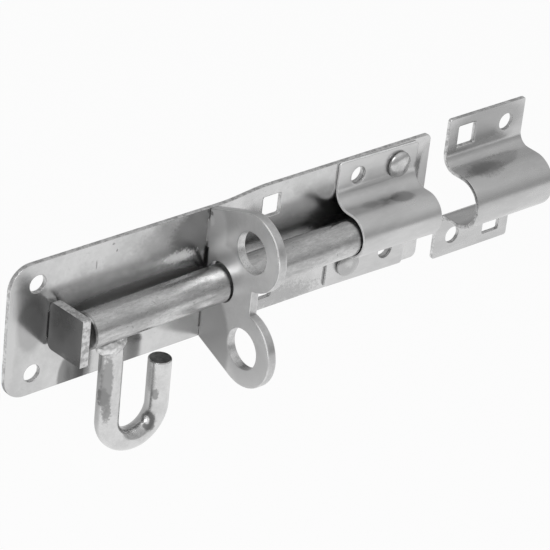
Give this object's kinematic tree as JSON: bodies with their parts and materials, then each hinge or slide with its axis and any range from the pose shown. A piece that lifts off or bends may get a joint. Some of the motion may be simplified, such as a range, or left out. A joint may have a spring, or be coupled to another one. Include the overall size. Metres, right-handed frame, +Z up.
{
  "type": "padbolt with keep",
  "caption": "Round sliding bolt on a joggled backplate, with a padlock bracket, an end stop, a hooked handle, a guide saddle and a separate keep.",
  "frame": {"origin": "on the plane of the door's face (Y = 0), behind the middle of the guide saddle and at half the backplate's height", "axes": "+X along the bolt, the way it shoots; +Y into the door; +Z up"},
  "size_m": [0.2542, 0.0442, 0.0945],
  "materials": {
    "plated_sheet": "bright zinc plate on pressed sheet, cloudy reflections",
    "plated_strip": "satin zinc plate on thick strip, rough sheared edges",
    "plated_bar": "mottled zinc plate on round bar, stained",
    "weld_metal": "rough plated weld",
    "rivet_steel": "bright zinc plate, domed"
  },
  "bodies": {
    "plate": {"backplate": "plated_sheet", "lug_bracket": "plated_strip", "end_stop": "plated_strip", "guide_saddle": "plated_sheet", "rivet_upper": "rivet_steel", "rivet_lower": "rivet_steel", "keep": "plated_sheet"},
    "bolt": {"bolt_rod": "plated_bar"},
    "hook": {"hook_handle": "plated_bar", "hook_weld": "weld_metal"}
  },
  "joints": [
    {"name": "bolt_slide", "type": "slide", "parent": "plate", "child": "bolt", "axis": [0.9999, 0.0096, 0.0081], "range_m": [-0.0049, 0.0208]},
    {"name": "hook_turn", "type": "hinge", "parent": "bolt", "child": "hook", "pos_m": [-0.1341, -0.0137, -0.00058], "axis": [-0.9999, -0.0096, -0.0081], "range_deg": [0, 180]}
  ]
}
